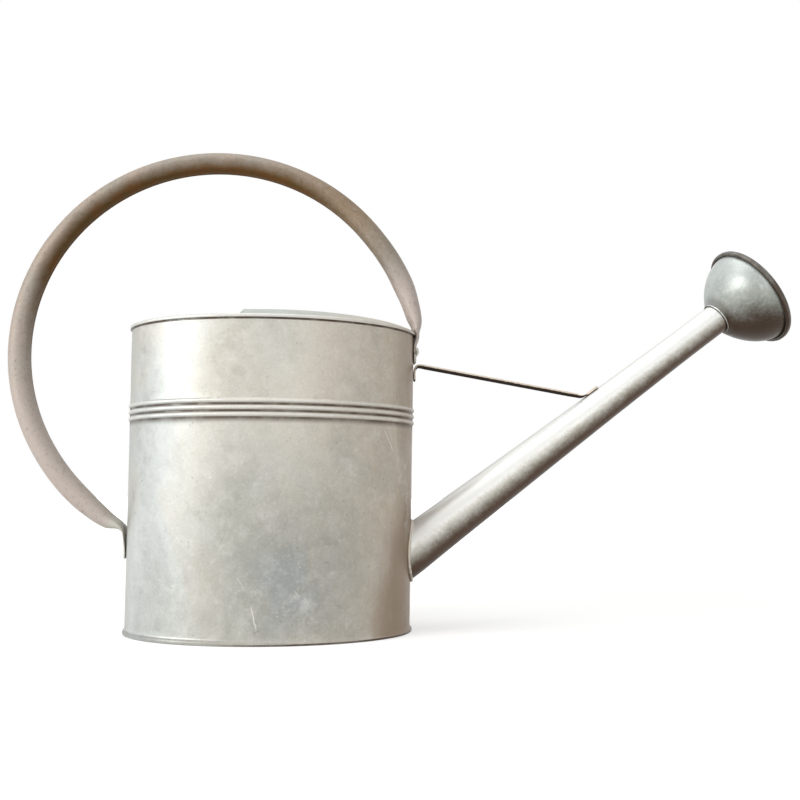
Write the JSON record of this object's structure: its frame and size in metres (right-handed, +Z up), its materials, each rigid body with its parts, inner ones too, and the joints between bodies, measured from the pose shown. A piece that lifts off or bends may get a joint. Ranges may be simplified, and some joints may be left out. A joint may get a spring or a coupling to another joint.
{
  "type": "watering can",
  "caption": "Oval galvanised watering can with a half cover, a rolled hoop handle, a braced tapered spout and a push-on rose with a perforated face.",
  "frame": {"origin": "middle of the whole can's box in X and Y, on the flat foot ring that it stands on", "axes": "+X along the can's length towards the rose, +Z up, mirror plane at Y = 0"},
  "size_m": [0.7402, 0.1766, 0.4483],
  "materials": {
    "galvanised_sheet": "weathered galvanised sheet, warm silver grey with zinc bloom and fine scratches",
    "brace_rod": "galvanised rod, dulled",
    "weathered_handle": "matt taupe oxide with light rust along the seam",
    "rivet_steel": "dull steel rivet",
    "dull_rose_zinc": "dull blue-green zinc patina"
  },
  "bodies": {
    "can": {"body_wall": "galvanised_sheet", "base_plate": "galvanised_sheet", "hood": "galvanised_sheet", "spout": "galvanised_sheet", "brace": "brace_rod", "handle": "weathered_handle", "handle_rivet_front": "rivet_steel", "handle_rivet_back": "rivet_steel"},
    "rose": {"rose_dome": "dull_rose_zinc", "rose_face": "dull_rose_zinc"}
  },
  "joints": [
    {"name": "rose_pull", "type": "slide", "parent": "can", "child": "rose", "axis": [0.8011, 0, 0.5985], "range_m": [0, 0.03]}
  ]
}
